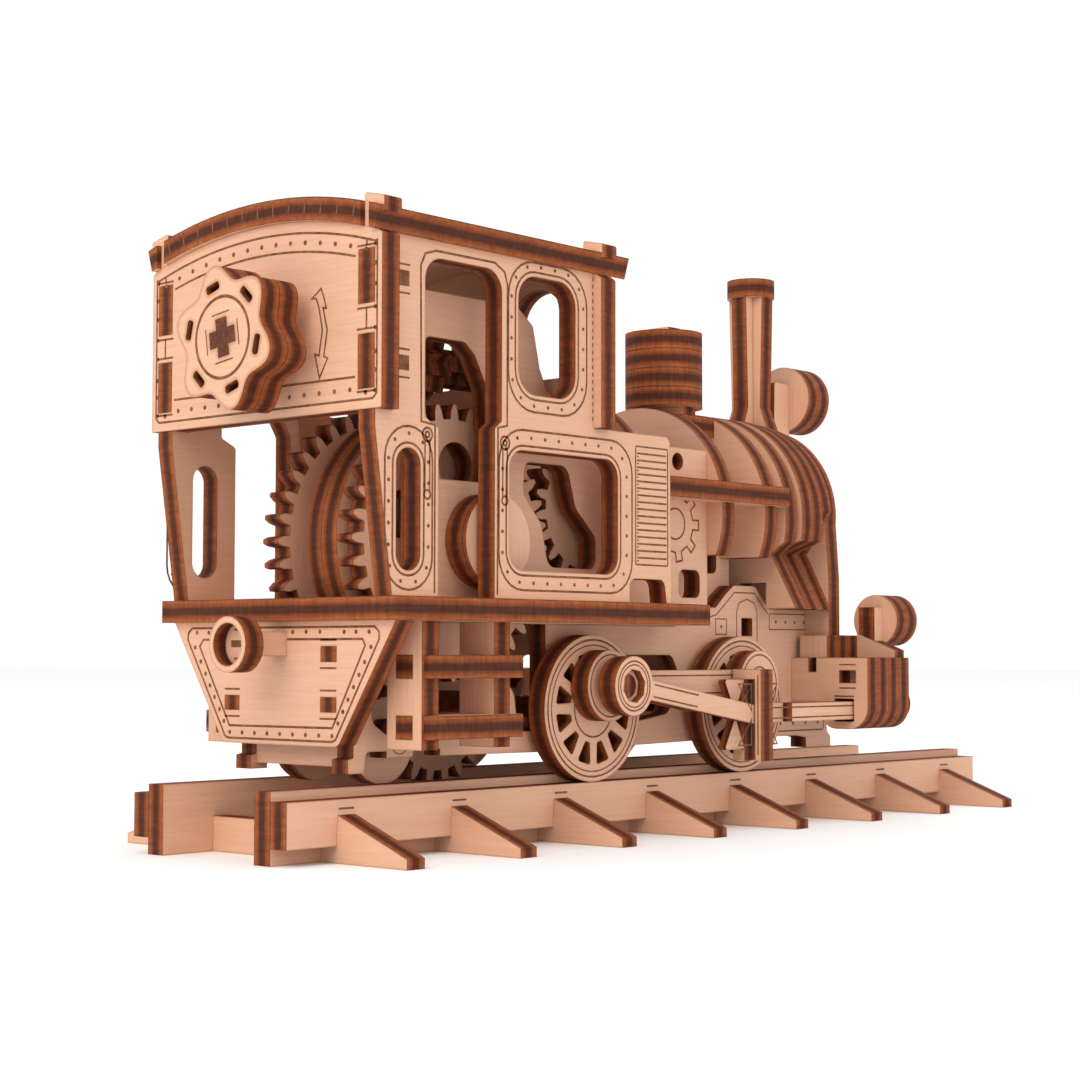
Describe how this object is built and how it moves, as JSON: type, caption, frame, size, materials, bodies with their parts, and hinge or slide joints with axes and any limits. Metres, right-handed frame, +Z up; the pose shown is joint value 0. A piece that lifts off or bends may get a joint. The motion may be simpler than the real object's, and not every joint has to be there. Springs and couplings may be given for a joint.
{
  "type": "wooden 3d jigsaw model",
  "caption": "Laser-cut plywood steam locomotive construction puzzle with gear drive, coupled driving wheels, side rods and winding knob, standing on a plywood track.",
  "frame": {"origin": "centre of the overall footprint, on the surface the track stands on", "axes": "+X along the track towards the chimney end, +Y to the locomotive's left, +Z up"},
  "size_m": [0.1614, 0.0548, 0.0886],
  "materials": {
    "birch_ply": "bare laser-cut birch plywood with scorched edges",
    "hardwood_pin": "scorched wooden pin stock"
  },
  "bodies": {
    "track": {"track_rail_guides": "birch_ply", "track_rail_ledges": "birch_ply", "track_sleepers": "birch_ply"},
    "chassis": {"main_frames": "birch_ply", "frame_spacers": "birch_ply", "footplate": "birch_ply", "rear_lower_panel": "birch_ply", "tail_lamp_bracket": "birch_ply", "tail_lamp_ring": "birch_ply", "step_posts": "birch_ply", "step_boards": "birch_ply", "cab_rear_panel": "birch_ply", "cab_side_left": "birch_ply", "cab_side_right": "birch_ply", "cab_front_wall": "birch_ply", "roof_sheet": "birch_ply", "roof_clips": "birch_ply", "gear_plates": "birch_ply", "boiler_arch": "birch_ply", "boiler_ribs": "birch_ply", "smokebox_rings": "birch_ply", "smokebox_front": "birch_ply", "smokebox_saddles": "birch_ply", "handrail_boards": "birch_ply", "dome_seat": "birch_ply", "dome_discs": "birch_ply", "chimney_plies": "birch_ply", "chimney_cap": "birch_ply", "head_lamp": "birch_ply", "lamp_arms": "birch_ply", "front_lamp_brackets": "birch_ply", "front_lamps": "birch_ply", "cylinder_plies": "birch_ply", "cylinder_heads": "birch_ply"},
    "rear_wheelset": {"rear_axle": "hardwood_pin", "rear_wheels": "birch_ply", "rear_crank_pins": "hardwood_pin", "axle_pinion": "birch_ply"},
    "front_wheelset": {"front_axle": "hardwood_pin", "front_wheels": "birch_ply", "front_crank_pins": "hardwood_pin"},
    "coupling_rod_left": {"coupling_rod_left": "birch_ply"},
    "coupling_rod_right": {"coupling_rod_right": "birch_ply"},
    "connecting_rod_left": {"connecting_rod_left": "birch_ply"},
    "connecting_rod_right": {"connecting_rod_right": "birch_ply"},
    "crosshead_left": {"crosshead_left": "birch_ply"},
    "crosshead_right": {"crosshead_right": "birch_ply"},
    "drive_drum": {"main_shaft": "hardwood_pin", "main_gears": "birch_ply", "spring_drum": "birch_ply", "main_shaft_caps": "birch_ply"},
    "idler": {"idler_shaft": "hardwood_pin", "idler_pinion": "birch_ply", "idler_gear": "birch_ply"},
    "front_gear_set": {"front_gear": "birch_ply", "front_gear_shaft": "hardwood_pin"},
    "guide_wheels": {"guide_wheelset": "birch_ply"},
    "winder": {"winding_knob": "birch_ply", "winding_shaft": "hardwood_pin", "winding_pinion": "birch_ply"}
  },
  "joints": [
    {"name": "loco_roll", "type": "slide", "parent": "track", "child": "chassis", "axis": [1, 0, 0], "range_m": [-0.012, 0.058]},
    {"name": "rear_wheels_spin", "type": "hinge", "parent": "chassis", "child": "rear_wheelset", "pos_m": [-0.02315, 0, 0.0183], "axis": [0, 1, 0], "range_deg": [-67.4, 322.1]},
    {"name": "front_wheels_spin", "type": "hinge", "parent": "chassis", "child": "front_wheelset", "pos_m": [0.01205, 0, 0.0183], "axis": [0, 1, 0], "range_deg": [-67.4, 322.1]},
    {"name": "coupling_rod_left_swing", "type": "hinge", "parent": "rear_wheelset", "child": "coupling_rod_left", "pos_m": [-0.02315, 0.017, 0.0215], "axis": [0, 1, 0], "range_deg": [-322.1, 67.4]},
    {"name": "connecting_rod_left_swing", "type": "hinge", "parent": "rear_wheelset", "child": "connecting_rod_left", "pos_m": [-0.02315, 0.0212, 0.0215], "axis": [0, 1, 0], "range_deg": [-322.1, 67.4]},
    {"name": "crosshead_left_slide", "type": "slide", "parent": "chassis", "child": "crosshead_left", "axis": [1, 0, 0], "range_m": [-0.0033, 0.0033]},
    {"name": "coupling_rod_right_swing", "type": "hinge", "parent": "rear_wheelset", "child": "coupling_rod_right", "pos_m": [-0.02315, -0.017, 0.0215], "axis": [0, 1, 0], "range_deg": [-322.1, 67.4]},
    {"name": "connecting_rod_right_swing", "type": "hinge", "parent": "rear_wheelset", "child": "connecting_rod_right", "pos_m": [-0.02315, -0.0212, 0.0215], "axis": [0, 1, 0], "range_deg": [-322.1, 67.4]},
    {"name": "crosshead_right_slide", "type": "slide", "parent": "chassis", "child": "crosshead_right", "axis": [1, 0, 0], "range_m": [-0.0033, 0.0033]},
    {"name": "drive_drum_spin", "type": "hinge", "parent": "chassis", "child": "drive_drum", "pos_m": [-0.04565, 0, 0.041], "axis": [0, 1, 0], "range_deg": [-7.7, 33.4]},
    {"name": "idler_spin", "type": "hinge", "parent": "chassis", "child": "idler", "pos_m": [-0.03812, 0, 0.0193], "axis": [0, 1, 0], "range_deg": [-117.8, 25.2]},
    {"name": "front_gear_spin", "type": "hinge", "parent": "chassis", "child": "front_gear_set", "pos_m": [-0.01826, 0, 0.04682], "axis": [0, 1, 0], "range_deg": [-59.4, 13.1]},
    {"name": "guide_wheels_spin", "type": "hinge", "parent": "chassis", "child": "guide_wheels", "pos_m": [-0.05705, 0, 0.0144], "axis": [0, 1, 0], "range_deg": [-123.8, 594.4]},
    {"name": "winding_knob_turn", "type": "hinge", "parent": "chassis", "child": "winder", "pos_m": [-0.07765, -0.00285, 0.0658], "axis": [1, 0, 0], "continuous": true}
  ],
  "couplings": [
    {"joint": "rear_wheels_spin", "follows": "loco_roll", "rad_per_m": 96.618},
    {"joint": "front_wheels_spin", "follows": "loco_roll", "rad_per_m": 96.618},
    {"joint": "coupling_rod_left_swing", "follows": "loco_roll", "rad_per_m": -96.618},
    {"joint": "coupling_rod_right_swing", "follows": "loco_roll", "rad_per_m": -96.618},
    {"joint": "connecting_rod_left_swing", "follows": "loco_roll", "rad_per_m": -96.618},
    {"joint": "connecting_rod_right_swing", "follows": "loco_roll", "rad_per_m": -96.618},
    {"joint": "idler_spin", "follows": "loco_roll", "rad_per_m": -35.134},
    {"joint": "drive_drum_spin", "follows": "loco_roll", "rad_per_m": 9.7594},
    {"joint": "front_gear_spin", "follows": "loco_roll", "rad_per_m": -17.567},
    {"joint": "guide_wheels_spin", "follows": "loco_roll", "rad_per_m": 178.57}
  ]
}
